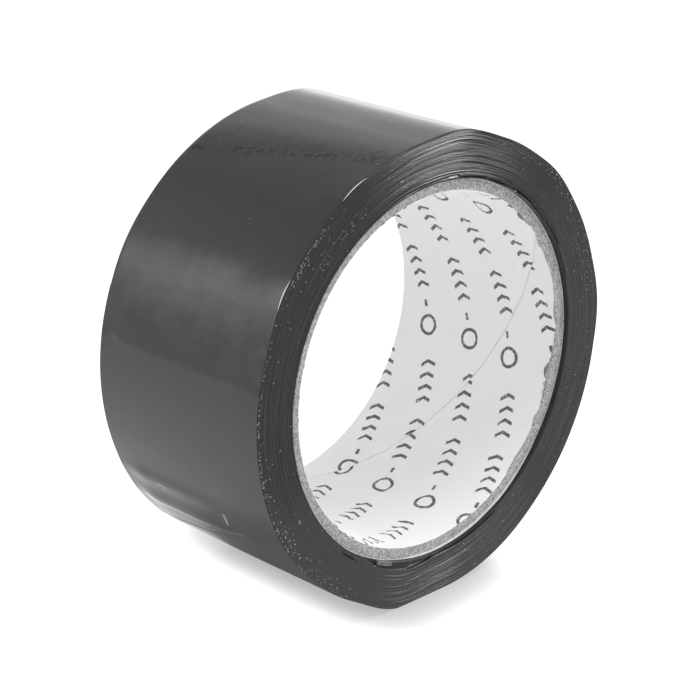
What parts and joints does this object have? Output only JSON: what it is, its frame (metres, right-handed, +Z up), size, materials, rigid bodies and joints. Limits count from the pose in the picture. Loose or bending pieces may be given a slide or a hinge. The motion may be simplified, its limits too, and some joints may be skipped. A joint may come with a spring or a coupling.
{
  "type": "packing tape roll",
  "caption": "Roll of dark glossy packing tape wound on a paperboard core, standing on its rim, with a free end that peels off.",
  "frame": {"origin": "on the axis of the core's bore, halfway across the width of the tape", "axes": "+Y along the bore, away from the end face where the core is set deeper; +Z up, with the roll standing on its rim; the free end lies on the -X side"},
  "size_m": [0.1005, 0.048, 0.1004],
  "materials": {
    "liner_paper": "white printed core liner with pale grey marks",
    "core_board": "grey recycled board, fibrous where it is cut",
    "cover_paper": "white outer strip of the core",
    "tape_film": "dark grey glossy packing tape film"
  },
  "bodies": {
    "roll": {"core_liner": "liner_paper", "core_board_1": "core_board", "core_board_2": "core_board", "core_board_3": "core_board", "core_board_4": "core_board", "core_cover": "cover_paper", "tape_start": "tape_film", "tape_winding": "tape_film"},
    "end_1": {"tape_end_1": "tape_film"},
    "end_2": {"tape_end_2": "tape_film"},
    "end_3": {"tape_end_3": "tape_film"},
    "end_4": {"tape_end_4": "tape_film"},
    "end_5": {"tape_end_5": "tape_film"}
  },
  "joints": [
    {"name": "end_peel", "type": "hinge", "parent": "roll", "child": "end_1", "pos_m": [-0.04647, 0, 0.01878], "axis": [0, 1, 0], "range_deg": [0, 120]},
    {"name": "end_bend_2", "type": "hinge", "parent": "end_1", "child": "end_2", "pos_m": [-0.0493, 0, 0.00869], "axis": [0, 1, 0], "range_deg": [0, 12]},
    {"name": "end_bend_3", "type": "hinge", "parent": "end_2", "child": "end_3", "pos_m": [-0.05003, 0, -0.00175], "axis": [0, 1, 0], "range_deg": [0, 12]},
    {"name": "end_bend_4", "type": "hinge", "parent": "end_3", "child": "end_4", "pos_m": [-0.04858, 0, -0.01211], "axis": [0, 1, 0], "range_deg": [0, 12]},
    {"name": "end_bend_5", "type": "hinge", "parent": "end_4", "child": "end_5", "pos_m": [-0.045, 0, -0.02195], "axis": [0, 1, 0], "range_deg": [0, 12]}
  ],
  "couplings": [
    {"joint": "end_bend_2", "follows": "end_peel", "ratio": 0.1},
    {"joint": "end_bend_3", "follows": "end_peel", "ratio": 0.1},
    {"joint": "end_bend_4", "follows": "end_peel", "ratio": 0.1},
    {"joint": "end_bend_5", "follows": "end_peel", "ratio": 0.1}
  ]
}
